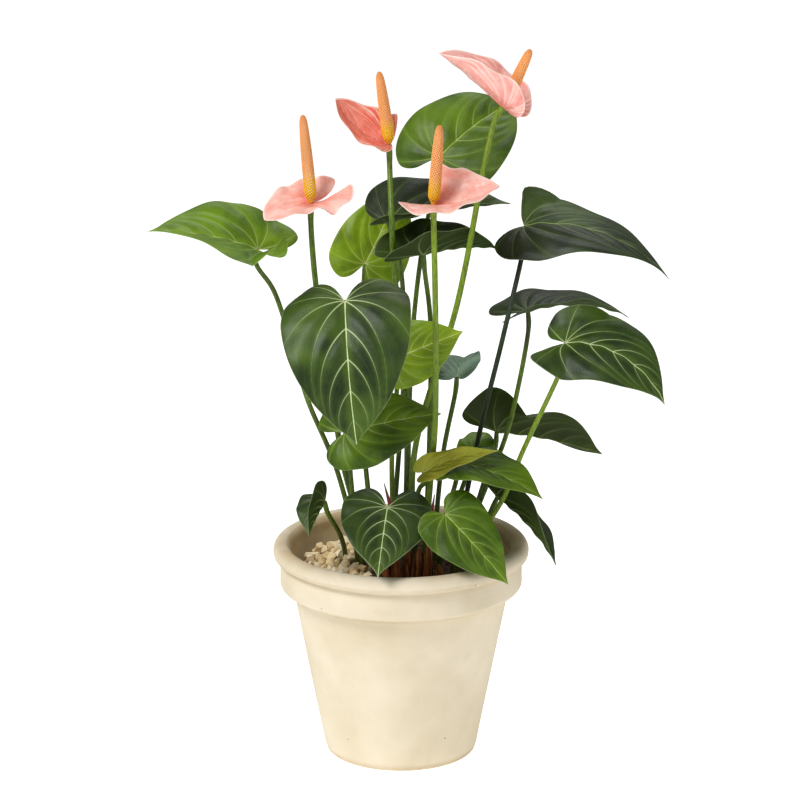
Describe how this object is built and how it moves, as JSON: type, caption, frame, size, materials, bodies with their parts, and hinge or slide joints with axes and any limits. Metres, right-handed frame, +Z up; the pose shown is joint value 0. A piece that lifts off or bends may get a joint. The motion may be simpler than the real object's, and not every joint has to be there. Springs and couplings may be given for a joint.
{
  "type": "potted anthurium",
  "caption": "Flowering anthurium in a tapered clay pot: heart-shaped leaves on long stalks, salmon spathes with orange spadices, gravel on the soil.",
  "frame": {"origin": "centre of the pot's flat foot, on the surface that it stands on", "axes": "+Z up along the pot's axis, -Y towards the plant's front, +X to the right seen from the front"},
  "size_m": [0.4522, 0.276, 0.6454],
  "materials": {
    "clay": "matt cream limewashed earthenware",
    "soil": "matt dark potting mix",
    "gravel": "matt cream limestone chips",
    "old_stalk_bases": "dry brown stalk bases",
    "bud_sheath": "satin pink-red sheath",
    "stalk": "satin green stalk",
    "leaf": "waxy green leaf with pale veins",
    "spathe": "waxy salmon-pink spathe",
    "spadix": "matt orange florets, yellow at the foot"
  },
  "bodies": {
    "root": {"pot": "clay", "potting_soil": "soil", "gravel": "gravel", "crown": "old_stalk_bases", "bud_sheath_left": "bud_sheath", "bud_sheath_right": "bud_sheath", "leaf_far_left": "leaf", "leaf_far_left_stalk": "stalk", "leaf_behind_top": "leaf", "leaf_behind_top_stalk": "stalk", "leaf_shaded_top": "leaf", "leaf_shaded_top_stalk": "stalk", "leaf_translucent": "leaf", "leaf_translucent_stalk": "stalk", "leaf_centre_folded": "leaf", "leaf_centre_folded_stalk": "stalk", "leaf_right_top": "leaf", "leaf_right_top_stalk": "stalk", "leaf_right_middle": "leaf", "leaf_right_middle_stalk": "stalk", "leaf_right_heart": "leaf", "leaf_right_heart_stalk": "stalk", "leaf_right_low": "leaf", "leaf_right_low_stalk": "stalk", "leaf_front_heart": "leaf", "leaf_front_heart_stalk": "stalk", "leaf_left_low": "leaf", "leaf_left_low_stalk": "stalk", "leaf_centre_bright": "leaf", "leaf_centre_bright_stalk": "stalk", "leaf_small_silver": "leaf", "leaf_small_silver_stalk": "stalk", "leaf_left_small": "leaf", "leaf_left_small_stalk": "stalk", "leaf_front_low": "leaf", "leaf_front_low_stalk": "stalk", "leaf_front_bright": "leaf", "leaf_front_bright_stalk": "stalk", "leaf_right_front": "leaf", "leaf_right_front_stalk": "stalk", "leaf_right_centre": "leaf", "leaf_right_centre_stalk": "stalk", "leaf_young_olive": "leaf", "leaf_young_olive_stalk": "stalk", "leaf_behind_round": "leaf", "leaf_behind_round_stalk": "stalk", "bloom_left_stalk": "stalk", "bloom_left_spathe": "spathe", "bloom_left_spadix": "spadix", "bloom_centre_left_stalk": "stalk", "bloom_centre_left_spathe": "spathe", "bloom_centre_left_spadix": "spadix", "bloom_top_right_stalk": "stalk", "bloom_top_right_spathe": "spathe", "bloom_top_right_spadix": "spadix", "bloom_centre_stalk": "stalk", "bloom_centre_spathe": "spathe", "bloom_centre_spadix": "spadix"}
  },
  "joints": []
}
